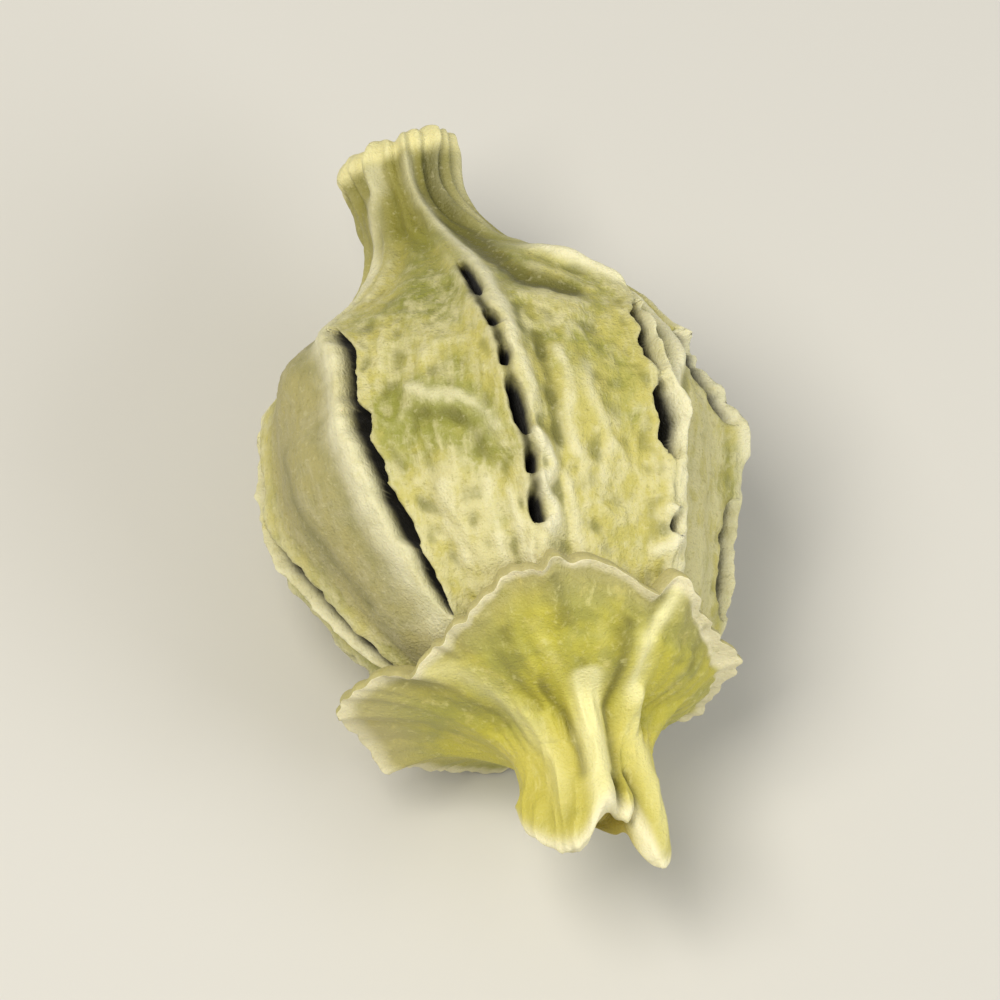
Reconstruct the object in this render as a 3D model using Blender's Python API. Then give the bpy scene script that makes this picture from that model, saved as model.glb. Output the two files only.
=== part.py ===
"""A dried baby okra pod lying on its side, as one ribbed pod and the cap with its cut stalk.

The pod points along +Y, with its tip at +Y and its stalk at -Y, and it rests on a small flat spot at Z = 0.
Each shape is first worked out round a straight axis, as a distance along it from the belly, a radius and an
angle from the top. Then the axis is bent, leaned and set down.
"""

import math

import bmesh
import bpy
import numpy as np
from mathutils import Matrix, Vector, noise

MM = 0.001

# Driving sizes, in metres
BELLY_RADIUS = 7.95 * MM
BASE_ALONG = -9.6 * MM
STALK_END = -14.2 * MM
CAP_WALL = 0.55 * MM
GAP = 0.3 * MM

# Ribs: each has a seam along its crest, which has split open
RIBS = 9
RIB_HEIGHT = 0.62 * MM
RIB_HALF_WIDTH = 0.17
CRACK_DEPTH = 1.15 * MM
CRACK_HALF_WIDTH = 0.045
CRACK_CLOSES = (6.5 * MM, 9.5 * MM)
LIP_HEIGHT = 0.32 * MM
LIP_OFF = 0.1
LIP_HALF_WIDTH = 0.07
PANEL_SAG = 0.35 * MM
PANEL_BULGE = [d * MM for d in (-0.05, 0.12, 0.0, 0.05, 0.1, 0.1, 0.0, 0.4, 0.0)]
PANEL_WAVE = 0.28 * MM
PANEL_WAVE_LENGTH = 3.2 * MM
SEAM_SKEW = math.radians(4.0)
SEAM_WANDER = math.radians(2.4)
SEAM_WANDER_LENGTH = 4.5 * MM
RELIEF_FADE = 0.75
BARED = (-8.6 * MM, -6.6 * MM)

# The pod is fuller at the upper end of one panel: height, place along and round it, and half size each way
FULL_SHOULDER = 0.6 * MM
SHOULDER_PLACE = (3.9 * MM, math.radians(-66))
SHOULDER_SIZE = (1.6 * MM, math.radians(26))

# Seams that the photograph shows, by rib: distance along the axis, and angle from the top in degrees.
# The other four are hidden, and are spaced evenly.
SEAM_PATHS = {
    0: [(-9.6, -3), (-5.6, -2), (-2.6, 2), (-0.1, 0), (2.8, -3), (5.0, -9), (6.8, -14), (9.4, -8), (12.5, 0)],
    1: [(-9.6, 41), (-4.0, 42), (-1.8, 43), (0.5, 40), (2.3, 41), (3.7, 43), (5.0, 47), (6.4, 44), (7.6, 37),
        (9.4, 36), (12.5, 40)],
    2: [(-9.6, 80), (-1.4, 80), (0.7, 73), (1.8, 66), (3.4, 64), (5.5, 68), (12.5, 80)],
    7: [(-9.6, -78), (-7.0, -82), (-3.5, -86), (-0.3, -90), (3.0, -92), (6.0, -94), (12.5, -80)],
    8: [(-9.6, -36), (-6.0, -37), (-4.2, -36), (-1.8, -37.5), (0.3, -40), (2.3, -42), (3.4, -45), (4.8, -54),
        (6.5, -57), (9.4, -50), (12.5, -40)],
}

# Outline of the pod from its tip to its base: distance along the axis, and radius
POD_OUTLINE = [
    Vector((12.85, 0.0)) * MM,
    Vector((12.9, 0.8)) * MM,
    Vector((13.3, 1.5)) * MM,
    Vector((12.9, 1.95)) * MM,
    Vector((11.2, 1.85)) * MM,
    Vector((9.4, 2.3)) * MM,
    Vector((8.1, 3.15)) * MM,
    Vector((6.9, 4.4)) * MM,
    Vector((5.2, 5.9)) * MM,
    Vector((3.2, 7.25)) * MM,
    Vector((0.6, 7.95)) * MM,
    Vector((-2.0, 7.7)) * MM,
    Vector((-4.4, 6.9)) * MM,
    Vector((-6.2, 6.05)) * MM,
    Vector((-7.8, 5.05)) * MM,
    Vector((-8.9, 3.5)) * MM,
    Vector((-9.45, 1.8)) * MM,
    Vector((-9.6, 0.0)) * MM,
]

# The tip is broken off aslant: how much further its right reaches, and where the slant begins and is full
TIP_SLANT = 0.6 * MM
TIP_RADIUS = 1.95 * MM
TIP_SLANTED = (10.8 * MM, 12.9 * MM)

# Outline of the stalk from the middle of its cut end to its waist
STALK_OUTLINE = [
    Vector((-13.95, 0.0)) * MM,
    Vector((-13.85, 0.75)) * MM,
    Vector((-13.6, 1.25)) * MM,
    Vector((-14.2, 1.8)) * MM,
    Vector((-14.05, 2.45)) * MM,
    Vector((-13.2, 2.55)) * MM,
    Vector((-12.1, 2.3)) * MM,
    Vector((-11.1, 2.35)) * MM,
]

# Ragged end of the stalk: angle from the top in degrees, and how far along the axis it reaches. A lobe and a
# strand on the upper side hang over the rest. The middle of the cut face is set back between them.
STALK_CUT = [
    Vector((-130, -12.3)),
    Vector((-96, -12.5)),
    Vector((-72, -13.8)),
    Vector((-50, -14.7)),
    Vector((-30, -15.1)),
    Vector((-14, -15.0)),
    Vector((2, -14.0)),
    Vector((16, -13.7)),
    Vector((32, -14.2)),
    Vector((50, -15.4)),
    Vector((66, -15.7)),
    Vector((82, -14.8)),
    Vector((104, -13.4)),
    Vector((135, -12.8)),
    Vector((180, -12.6)),
]
CUT_MIDDLE = -13.7 * MM
CUT_RADIUS = 2.45 * MM
CUT_FADES = -12.0 * MM

# Rim of the cap, all the way round: angle from the top in degrees, distance along the axis, and radius.
# A broad lobe reaches up the pod on top, with a smaller one beside it.
RIM = [
    Vector((-162, -8.8 * MM, 6.8 * MM)),
    Vector((-120, -9.2 * MM, 6.9 * MM)),
    Vector((-92, -8.6 * MM, 8.0 * MM)),
    Vector((-68, -8.3 * MM, 7.4 * MM)),
    Vector((-50, -8.2 * MM, 6.5 * MM)),
    Vector((-36, -7.5 * MM, 6.3 * MM)),
    Vector((-22, -6.9 * MM, 6.5 * MM)),
    Vector((-11, -6.2 * MM, 6.8 * MM)),
    Vector((6, -6.1 * MM, 7.0 * MM)),
    Vector((20, -6.4 * MM, 7.0 * MM)),
    Vector((36, -7.1 * MM, 6.9 * MM)),
    Vector((55, -7.5 * MM, 6.65 * MM)),
    Vector((72, -7.9 * MM, 6.45 * MM)),
    Vector((88, -8.3 * MM, 6.1 * MM)),
    Vector((116, -8.5 * MM, 5.6 * MM)),
    Vector((140, -8.4 * MM, 6.1 * MM)),
    Vector((166, -8.6 * MM, 6.8 * MM)),
]
FLARE_ON_TOP = 1.4
FLARE_BELOW = 2.2
FLARE_WIDENING = 1.3

# How the rim turns inwards, in walls along and outwards, and how the inside runs from it: share of the way to
# the underside, and lift in walls
RIM_TURNS = (Vector((0.35, -0.1)), Vector((0.75, -0.7)))
INSIDE_LIFTS = ((0.35, 0.9), (0.75, 0.5))

# Pleats: one in line with each rib, running out into ridges on the stalk. They are low on the broad lobe and
# on the flap at its side, and the smaller lobe is hollow like a spoon.
PLEAT_HEIGHTS = [h * MM for h in (0.15, 0.7, 0.5, 0.5, 0.5, 0.5, 0.5, 0.2, 0.5)]
PLEAT_SAGS = [s * MM for s in (0.3, 0.6, 0.3, 0.3, 0.3, 0.3, 0.3, 0.35, 0.2)]
PLEAT_HALF_WIDTH = 0.13
PLEATED = (-12.0 * MM, -9.8 * MM)
PLEAT_LOSS = 0.4
STALK_RIDGES = 5
STALK_RIDGE_HEIGHT = 0.2 * MM
RIDGES_BEGIN = (1.2 * MM, 2.4 * MM)

# Underside of the cap, inwards to its middle, which faces the pod's base. The wall over it slants, and so it
# measures more across than it is thick.
WALL_SLANT = 1.25
UNDERSIDE = [
    Vector((-8.45, 4.75)) * MM,
    Vector((-9.15, 3.7)) * MM,
    Vector((-9.75, 1.9)) * MM,
    Vector((-9.9, 0.0)) * MM,
]

# How the straight axis is bent, leaned and set down
NECK_SHIFT = -2.2 * MM
NECK_DROOP = -0.5 * MM
NECK_BEND = (5.2 * MM, 12.2 * MM)
STALK_SHIFT = 1.9 * MM
STALK_BEND = (-1.0 * MM, -12.5 * MM)
SIDESTEP = 0.35 * MM
SIDESTEP_ALONG = 6.6 * MM
SIDESTEP_LENGTH = 2.2 * MM
LEAN = math.radians(5.0)
AXIS_HEIGHT = 7.56 * MM

# Mesh density
RIB_COLUMNS = (0.0, 0.09, 0.23, 0.41, 0.59, 0.77, 0.91)
POD_ROWS = 38
FLARE_ROWS = 7
CURVE_STEPS = 12

SHARP_ANGLE = math.radians(50)
POD_COLOUR = (0.45, 0.42, 0.16, 1)
CAP_COLOUR = (0.6, 0.54, 0.13, 1)
POD_ROUGHNESS = 0.6
CAP_ROUGHNESS = 0.55


def clear_scene():
    for found in list(bpy.data.objects):
        bpy.data.objects.remove(found)


def eased(value, start, end):
    """0 before start and 1 after end, with level ends."""
    t = min(1.0, max(0.0, (value - start) / (end - start)))
    return t * t * (3 - 2 * t)


def curve_through(points, steps):
    """A smooth curve through the points, with this many steps between each two of them."""
    ends = [points[0], *points, points[-1]]
    curve = []
    for p0, p1, p2, p3 in zip(ends, ends[1:], ends[2:], ends[3:]):
        for i in range(steps):
            t = i / steps
            bend = (2 * p0 - 5 * p1 + 4 * p2 - p3) * t * t
            twist = (3 * p1 - p0 - 3 * p2 + p3) * t * t * t
            curve.append((2 * p1 + (p2 - p0) * t + bend + twist) / 2)
    return [*curve, points[-1]]


def evenly_spaced(curve, count):
    """This many points at equal distances along a curve."""
    reached = [0.0]
    for start, end in zip(curve, curve[1:]):
        reached.append(reached[-1] + (end - start).length)
    spaced = []
    piece = 0
    for i in range(count):
        wanted = reached[-1] * i / (count - 1)
        while piece < len(curve) - 2 and reached[piece + 1] < wanted:
            piece += 1
        share = (wanted - reached[piece]) / (reached[piece + 1] - reached[piece])
        spaced.append(curve[piece].lerp(curve[piece + 1], share))
    return spaced


POD_CURVE = curve_through(POD_OUTLINE, CURVE_STEPS)
POD_SIDE = sorted((p.x, p.y) for p in POD_CURVE[4 * CURVE_STEPS :])


def outline_radius(along):
    """Radius of the pod's plain outline at a distance along the axis, anywhere below the tip."""
    return float(np.interp(along, *zip(*POD_SIDE)))


SEAM_CURVES = {rib: curve_through([Vector(p) for p in path], CURVE_STEPS) for rib, path in SEAM_PATHS.items()}


def seam_angle(rib, along):
    """Angle of a rib's seam, from 0 at the top to a full turn."""
    if rib in SEAM_CURVES:
        degrees = float(np.interp(along / MM, *zip(*SEAM_CURVES[rib])))
        return math.radians(degrees + (360 if rib > RIBS / 2 else 0))
    even = 2 * math.pi * rib / RIBS
    wander = noise.noise(Vector((math.cos(even), math.sin(even), along / SEAM_WANDER_LENGTH)))
    return even - SEAM_SKEW * math.sin(even) + SEAM_WANDER * wander


def column_angle(rib, share, along):
    """Angle at a share of the way from one rib's seam to the next."""
    here = seam_angle(rib, along)
    following = seam_angle((rib + 1) % RIBS, along)
    if rib == RIBS - 1:
        following += 2 * math.pi
    return here + (following - here) * share


def from_seam(share):
    """Distance to the nearest seam, as a share of the width from rib to rib."""
    return min(share, 1 - share)


def hump(distance, half_width):
    return math.exp(-((distance / half_width) ** 2))


def bared(along):
    """1 on the open part of the pod and 0 on the plain base inside the cap."""
    return eased(along, *BARED)


def full_shoulder(angle, along):
    """Height of the fuller place at the upper end of one panel."""
    off_along = (along - SHOULDER_PLACE[0]) / SHOULDER_SIZE[0]
    off_round = math.remainder(angle - SHOULDER_PLACE[1], 2 * math.pi) / SHOULDER_SIZE[1]
    return FULL_SHOULDER * hump(math.hypot(off_along, off_round), 1)


def pod_relief(panel, angle, share, along, radius):
    """Height of the pod's surface over its plain outline."""
    size = min(1.0, radius / BELLY_RADIUS) ** RELIEF_FADE
    off = from_seam(share)
    split = 1 - eased(along, *CRACK_CLOSES)
    lip = LIP_HEIGHT * hump(off - LIP_OFF, LIP_HALF_WIDTH) * split
    rib = RIB_HEIGHT * hump(off, RIB_HALF_WIDTH)
    crack = CRACK_DEPTH * hump(off, CRACK_HALF_WIDTH) * split
    sag = PANEL_SAG * math.cos(math.pi * off) ** 2 * (1 - hump(off, RIB_HALF_WIDTH))
    spot = Vector((math.sin(angle), math.cos(angle), along / BELLY_RADIUS))
    wave = PANEL_WAVE * noise.noise(spot * BELLY_RADIUS / PANEL_WAVE_LENGTH)
    bulge = PANEL_BULGE[panel] * math.sin(math.pi * share) ** 2
    relief = (rib + lip - crack - sag + wave + bulge) * size
    return (relief + full_shoulder(angle, along)) * bared(along)


UNDERSIDE_CURVE = sorted((p.x, p.y) for p in UNDERSIDE)


def clear_of_inside(point):
    """The point moved outwards where the cap's wall over its own inside would be too thin."""
    if point.x < UNDERSIDE_CURVE[0][0]:
        return point
    inside = float(np.interp(point.x, *zip(*UNDERSIDE_CURVE)))
    return Vector((point.x, max(point.y, inside + CAP_WALL * WALL_SLANT)))


def clear_of_pod(point, share, room):
    """The point moved outwards where it would come nearer to the pod than this room."""
    if point.x < BASE_ALONG:
        return point
    rib = RIB_HEIGHT * hump(from_seam(share), RIB_HALF_WIDTH) * bared(point.x)
    return Vector((point.x, max(point.y, outline_radius(point.x) + rib + room)))


def closed_curve(points):
    """A smooth curve through a full turn of points, whose first numbers are angles in degrees."""
    before, after = points[-1].copy(), points[0].copy()
    before[0] -= 360
    after[0] += 360
    return zip(*curve_through([before, *points, after], CURVE_STEPS))


RIM_ANGLES, RIM_ALONG, RIM_RADII = closed_curve(RIM)
CUT_ANGLES, CUT_ALONG = closed_curve(STALK_CUT)


def rim_at(angle):
    """Where the cap's rim is at an angle from the top."""
    degrees = (math.degrees(angle) + 180) % 360 - 180
    return Vector((np.interp(degrees, RIM_ANGLES, RIM_ALONG), np.interp(degrees, RIM_ANGLES, RIM_RADII)))


def pleat_height(panel, angle, share, along):
    """Height of the pleats on the cap, which run out into a few ridges on the stalk."""
    on_cap = eased(along, *PLEATED)
    nearest = panel if share < 0.5 else (panel + 1) % RIBS
    raised = PLEAT_HEIGHTS[nearest] * hump(from_seam(share), PLEAT_HALF_WIDTH)
    sag = PLEAT_SAGS[panel] * math.sin(math.pi * share) ** 2
    ridge = STALK_RIDGE_HEIGHT * math.cos(STALK_RIDGES * angle)
    return (raised - sag) * on_cap + ridge * (1 - on_cap)


def stalk_outline(angle):
    """The stalk's outline from the middle of its ragged cut end to its waist."""
    degrees = (math.degrees(angle) + 180) % 360 - 180
    cut = float(np.interp(degrees, CUT_ANGLES, CUT_ALONG)) * MM
    outline = []
    for point in STALK_OUTLINE:
        end = CUT_MIDDLE + (cut - CUT_MIDDLE) * min(1.0, point.y / CUT_RADIUS)
        moved = (end - STALK_END) * (1 - eased(point.x, STALK_END, CUT_FADES))
        ridge = STALK_RIDGE_HEIGHT * math.cos(STALK_RIDGES * angle) * eased(point.y, *RIDGES_BEGIN)
        outline.append(point + Vector((moved, ridge)))
    return outline


def flare_outline(panel, angle, share):
    """The outside of the cap from the stalk's waist to its rim."""
    waist, rim = STALK_OUTLINE[-1], rim_at(angle)
    below = 0.5 - 0.5 * math.cos(angle)
    splay = FLARE_ON_TOP + (FLARE_BELOW - FLARE_ON_TOP) * below
    outline = []
    for i in range(1, FLARE_ROWS + 1):
        t = i / FLARE_ROWS
        along = waist.x + (rim.x - waist.x) * (1 - (1 - t) ** splay)
        radius = waist.y + (rim.y - waist.y) * t**FLARE_WIDENING
        raised = pleat_height(panel, angle, share, along) * (1 - PLEAT_LOSS * t)
        point = clear_of_inside(Vector((along, radius + raised)))
        outline.append(clear_of_pod(point, share, GAP + CAP_WALL))
    return outline


def cap_outline(panel, angle, share):
    """The cap's outline at one angle: up the stalk, out to the rim, and in under it to the middle."""
    outside = flare_outline(panel, angle, share)
    edge = outside[-1]
    turned = [edge + turn * CAP_WALL for turn in RIM_TURNS]
    for onward, lift in INSIDE_LIFTS:
        turned.append(edge.lerp(UNDERSIDE[0], onward) + Vector((lift, 0)) * CAP_WALL)
    inside = [clear_of_pod(p, share, GAP) for p in turned]
    return stalk_outline(angle) + outside + inside + UNDERSIDE


def set_down(along, radius, angle):
    """A point of the straight pod, bent with the axis, leaned, and held at or above the surface under it."""
    neck = eased(along, *NECK_BEND)
    stalk = 1 - eased(along, STALK_BEND[1], STALK_BEND[0])
    step = SIDESTEP * hump(along - SIDESTEP_ALONG, SIDESTEP_LENGTH)
    sideways = NECK_SHIFT * neck + STALK_SHIFT * stalk + step
    straight = Vector((radius * math.sin(angle), along, radius * math.cos(angle)))
    bent = straight + Vector((sideways, 0, NECK_DROOP * neck))
    placed = Matrix.Rotation(LEAN, 3, "X") @ bent + Vector((0, 0, AXIS_HEIGHT))
    return Vector((placed.x, placed.y, max(0.0, placed.z)))


def pod_rings():
    """Rings of points from the tip to the base. The first and last rings are all one point."""
    rings = []
    for row in evenly_spaced(POD_CURVE, POD_ROWS):
        slant = TIP_SLANT * row.y / TIP_RADIUS * eased(row.x, *TIP_SLANTED)
        ring = []
        for rib in range(RIBS):
            for share in RIB_COLUMNS:
                angle = column_angle(rib, share, row.x)
                height = pod_relief(rib, angle, share, row.x, row.y)
                radius = row.y + height if row.y else 0.0
                ring.append(set_down(row.x + slant * math.sin(angle), radius, angle))
        rings.append(ring)
    return rings


def cap_rings():
    """Rings of points from the cut end of the stalk to the underside of the cap."""
    outlines = []
    for rib in range(RIBS):
        for share in RIB_COLUMNS:
            angle = column_angle(rib, share, BASE_ALONG)
            outline = cap_outline(rib, angle, share)
            outlines.append([set_down(p.x, p.y, angle) for p in outline])
    return list(zip(*outlines))


def skin(name, rings, colour, roughness):
    """A closed surface over rings of points, whose first and last rings are single points."""
    mesh = bpy.data.meshes.new(name)
    sheet = bmesh.new()
    first = sheet.verts.new(rings[0][0])
    last = sheet.verts.new(rings[-1][0])
    loops = [[sheet.verts.new(p) for p in ring] for ring in rings[1:-1]]
    count = len(loops[0])
    for i in range(count):
        following = (i + 1) % count
        sheet.faces.new((first, loops[0][i], loops[0][following]))
        sheet.faces.new((last, loops[-1][following], loops[-1][i]))
        for near, far in zip(loops, loops[1:]):
            sheet.faces.new((near[i], far[i], far[following], near[following]))
    bmesh.ops.recalc_face_normals(sheet, faces=sheet.faces)
    sheet.to_mesh(mesh)
    sheet.free()
    mesh.shade_smooth()
    mesh.set_sharp_from_angle(angle=SHARP_ANGLE)
    mesh.materials.append(finish(name, colour, roughness))
    made = bpy.data.objects.new(name, mesh)
    bpy.context.scene.collection.objects.link(made)
    return made


def finish(name, colour, roughness):
    material = bpy.data.materials.new(name)
    material.use_nodes = True
    shader = material.node_tree.nodes["Principled BSDF"]
    shader.inputs["Base Color"].default_value = colour
    shader.inputs["Roughness"].default_value = roughness
    return material


def centre_over_origin(pieces):
    """Moves the pieces together so that the middle of their box is over the origin."""
    corners = [v.co for piece in pieces for v in piece.data.vertices]
    middle_x = (min(c.x for c in corners) + max(c.x for c in corners)) / 2
    middle_y = (min(c.y for c in corners) + max(c.y for c in corners)) / 2
    for piece in pieces:
        piece.data.transform(Matrix.Translation((-middle_x, -middle_y, 0)))


clear_scene()
pod = skin("pod", pod_rings(), POD_COLOUR, POD_ROUGHNESS)
cap = skin("cap_with_stalk", cap_rings(), CAP_COLOUR, CAP_ROUGHNESS)
centre_over_origin([pod, cap])
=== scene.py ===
# %% [markdown]
# # A dried baby okra pod
# Baby okra is picked small, threaded on strings and dried in the sun. The pod shrinks on its seeds, so its
# ribs stand out, the seam along each rib splits, and the skin turns from green to straw yellow. The cap with
# its short cut stalk stays on. This scene dresses a plain model of one such pod, which lies on its side on a
# pale table.
#
# Two closed skins are enough: the pod and the cap. Both are surfaces over a grid of distance along the pod
# and angle round it, so each wrinkle is a formula in real millimetres, and both can be made as fine as they
# need to be.

# %% Load the frame
import math
import random

import bpy
import numpy as np
from mathutils import Matrix, Vector, noise


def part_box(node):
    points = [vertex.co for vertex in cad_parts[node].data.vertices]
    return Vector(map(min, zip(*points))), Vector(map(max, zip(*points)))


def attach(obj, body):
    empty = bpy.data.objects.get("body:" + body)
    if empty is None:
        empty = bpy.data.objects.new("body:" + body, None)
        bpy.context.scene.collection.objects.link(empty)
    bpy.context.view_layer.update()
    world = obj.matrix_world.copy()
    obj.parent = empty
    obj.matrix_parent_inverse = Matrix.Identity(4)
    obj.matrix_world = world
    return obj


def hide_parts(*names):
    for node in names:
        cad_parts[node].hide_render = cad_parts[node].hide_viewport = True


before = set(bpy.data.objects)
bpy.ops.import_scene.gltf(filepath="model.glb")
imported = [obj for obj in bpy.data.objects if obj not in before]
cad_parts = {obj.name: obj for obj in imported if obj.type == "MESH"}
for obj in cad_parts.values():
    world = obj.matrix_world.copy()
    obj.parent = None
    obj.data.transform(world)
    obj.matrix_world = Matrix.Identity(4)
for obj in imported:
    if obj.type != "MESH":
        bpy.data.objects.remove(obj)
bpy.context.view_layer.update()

# %% [markdown]
# ## Sizes
# Lengths are in millimetres until the last step. The pod's axis is first straight. `along` is the distance
# along it from the belly, growing towards the tip, and angles go round it from the top. These are the plain
# model's own driving sizes, so the finer skins lie on it.

# %% Driving sizes
MM = 0.001
BELLY = 7.95
BASE = -9.6
RIBS = 9
RIB_HEIGHT, RIB_SPREAD = 0.62, 0.17

# The pod's outline from its tip to its base, as distance along and radius.
POD_OUTLINE = np.array([
    (12.85, 0.0), (12.9, 0.8), (13.3, 1.5), (12.9, 1.95), (11.2, 1.85), (9.4, 2.3), (8.1, 3.15), (6.9, 4.4),
    (5.2, 5.9), (3.2, 7.25), (0.6, 7.95), (-2.0, 7.7), (-4.4, 6.9), (-6.2, 6.05), (-7.8, 5.05), (-8.9, 3.5),
    (-9.45, 1.8), (-9.6, 0.0),
])
print("pod, mm:", round(float(np.ptp(POD_OUTLINE[:, 0])), 2), "long and", 2 * BELLY, "across")

# %% [markdown]
# ## Small tools
# Dried skin is never regular, so nearly everything below is a smooth formula plus noise. Perlin noise gives
# soft lumps of one size, and the same numbers on every run. Its ridged form, one minus the noise's distance
# from zero, gives the sharp-crested folds of a skin that has shrunk.

# %% Curves and noise
def eased(value, start, end):
    """0 before start and 1 after end, with level ends."""
    t = np.clip((value - start) / (end - start), 0, 1)
    return t * t * (3 - 2 * t)


def hump(distance, half_width):
    return np.exp(-((distance / half_width) ** 2))


def curve_through(points, steps):
    """A smooth curve through the points, with this many steps between each two of them."""
    ends = np.vstack([points[:1], points, points[-1:]])
    t = (np.arange(steps) / steps)[:, None]
    pieces = []
    for p0, p1, p2, p3 in zip(ends, ends[1:], ends[2:], ends[3:]):
        bend = (2 * p0 - 5 * p1 + 4 * p2 - p3) * t * t
        twist = (3 * p1 - p0 - 3 * p2 + p3) * t**3
        pieces.append((2 * p1 + (p2 - p0) * t + bend + twist) / 2)
    return np.vstack([*pieces, points[-1:]])


def lumps(places, size, seed=0):
    """Soft noise from about -1 to 1, with lumps of this size in millimetres."""
    spots = (np.asarray(places) / size + seed * 7.31).reshape(-1, 3).tolist()
    return np.array([noise.noise(spot) for spot in spots]).reshape(np.shape(places)[:-1])


CREST_NARROWING, CREST_SHARPNESS = 2.2, 1.5


def folds(places, size, seed=0):
    """Ridged noise from 0 to 1: sharp crests with hollows between."""
    return np.clip(1 - CREST_NARROWING * np.abs(lumps(places, size, seed)), 0, 1) ** CREST_SHARPNESS


def blurred(heights, rounds):
    """A grid of heights smoothed a little, joined across its first and last columns."""
    for _ in range(rounds):
        heights = (np.roll(heights, 1, axis=1) + heights + np.roll(heights, -1, axis=1)) / 3
        padded = np.vstack([heights[:1], heights, heights[-1:]])
        heights = (padded[:-2] + padded[1:-1] + padded[2:]) / 3
    return heights


def unbent(along, radius, angle):
    """Points of the pod before it is bent, which is where its noise is looked up."""
    return np.stack([radius * np.sin(angle), along, radius * np.cos(angle)], axis=-1)


def turned_from(angle, degrees):
    """How far each angle is past this many degrees, the short way round, in radians."""
    return (angle - math.radians(degrees) + np.pi) % (2 * np.pi) - np.pi


CURVE_STEPS, TIP_POINTS = 12, 4
POD_SIDE = curve_through(POD_OUTLINE, CURVE_STEPS)[TIP_POINTS * CURVE_STEPS :][::-1]


def pod_radius(along):
    """Radius of the pod's plain outline, anywhere below the tip."""
    return np.interp(along, POD_SIDE[:, 0], POD_SIDE[:, 1])


print("belly radius, mm:", round(float(POD_SIDE[:, 1].max()), 2))

# %% [markdown]
# ## Columns and seams
# Okra splits along the middle of each rib, so the seams are where the eye looks. The grid's columns stand
# close together at each seam and further apart between them. The five seams that the camera sees follow paths
# of their own, which run together on the bent neck, and the four hidden ones are spaced evenly and wander a
# little.

# %% Seam places
SEAM_PATHS = {
    0: [(-9.6, -3), (-5.6, -2), (-2.6, 2), (-0.1, 0), (2.8, -3), (5.0, -9), (6.8, -14), (9.4, -8), (12.5, 0)],
    1: [(-9.6, 41), (-4.0, 42), (-1.8, 43), (0.5, 40), (2.3, 41), (3.7, 43), (5.0, 47), (6.4, 44), (7.6, 37),
        (9.4, 36), (12.5, 40)],
    2: [(-9.6, 80), (-1.4, 80), (0.7, 73), (1.8, 66), (3.4, 64), (5.5, 68), (12.5, 80)],
    7: [(-9.6, -78), (-7.0, -82), (-3.5, -86), (-0.3, -90), (3.0, -92), (6.0, -94), (12.5, -80)],
    8: [(-9.6, -36), (-6.0, -37), (-4.2, -36), (-1.8, -37.5), (0.3, -40), (2.3, -42), (3.4, -45), (4.8, -54),
        (6.5, -57), (9.4, -50), (12.5, -40)],
}
SEAM_CURVES = {rib: curve_through(np.array(path, float), CURVE_STEPS) for rib, path in SEAM_PATHS.items()}
COLUMNS, CROWDING = 58, 0.55
SEAM_LIFT, SEAM_WANDER, WANDER_LENGTH = math.radians(4), math.radians(2.4), 4.5
steps = np.arange(COLUMNS) / COLUMNS
rib_share = steps - CROWDING * np.sin(2 * np.pi * steps) / (2 * np.pi)
column_rib = np.repeat(np.arange(RIBS), COLUMNS)
column_share = np.tile(rib_share, RIBS)


def seam_angle(rib, along):
    """Angle of a rib's seam at each of these distances along the pod. Rib 9 is rib 0 after a full turn."""
    turn, rib = 2 * np.pi * (rib // RIBS), rib % RIBS
    if rib in SEAM_CURVES:
        curve = SEAM_CURVES[rib]
        degrees = np.interp(along, curve[:, 0], curve[:, 1])
        return turn + np.radians(degrees + (360 if rib > RIBS / 2 else 0))
    even = 2 * np.pi * rib / RIBS
    places = [np.full_like(along, np.cos(even)), np.full_like(along, np.sin(even)), along / WANDER_LENGTH]
    return turn + even - SEAM_LIFT * np.sin(even) + SEAM_WANDER * lumps(np.stack(places, axis=-1), 1)


def grid_angles(along):
    """Angle of every column at every row."""
    seams = np.stack([seam_angle(rib, along) for rib in range(RIBS + 1)], axis=1)
    return seams[:, column_rib] * (1 - column_share) + seams[:, column_rib + 1] * column_share


from_seam = np.minimum(column_share, 1 - column_share)
nearest_seam = np.where(column_share < 0.5, column_rib, column_rib + 1) % RIBS
seam_side = np.where(column_share < 0.5, 1, -1)
print("columns:", len(column_rib), "narrowest, mm:", round(float(rib_share[1]) * 2 * np.pi * BELLY / RIBS, 3))

# %% [markdown]
# ## Setting down
# The straight pod is bent at its neck and towards its stalk, leaned a little on its belly, and set on the
# table. Its belly is pressed flat where it lies. Bones or a curve modifier could bend it too, but a formula
# keeps the fine skins on the plain model, which was bent by the same one.

# %% Bend and lean
LEAN, AXIS_HEIGHT = math.radians(5), 7.56
NECK_SHIFT, NECK_DROOP, NECK_BENT = -2.2, -0.5, (5.2, 12.2)
STALK_SHIFT, STALK_BENT = 1.9, (-12.5, -1.0)
SIDESTEP, SIDESTEP_PLACE, SIDESTEP_REACH = 0.35, 6.6, 2.2


def set_down(along, radius, angle):
    """Points of the straight pod, bent with the axis, leaned, and held at or above the table."""
    neck = eased(along, *NECK_BENT)
    sideways = NECK_SHIFT * neck + STALK_SHIFT * (1 - eased(along, *STALK_BENT))
    x = radius * np.sin(angle) + sideways + SIDESTEP * hump(along - SIDESTEP_PLACE, SIDESTEP_REACH)
    height = radius * np.cos(angle) + NECK_DROOP * neck
    y = along * math.cos(LEAN) - height * math.sin(LEAN)
    z = along * math.sin(LEAN) + height * math.cos(LEAN) + AXIS_HEIGHT
    return np.stack([x, y, np.maximum(z, 0)], axis=-1)


print("belly's middle, mm:", np.round(set_down(0.0, 0.0, 0.0), 2))

# %% [markdown]
# ## Closed skins
# A skin is a grid of points wrapped into a tube, with a fan of triangles to one point at each end. Such a
# mesh has no gap or loose edge. It also carries marks: numbers kept at every point, which the material reads
# by their names.

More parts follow.
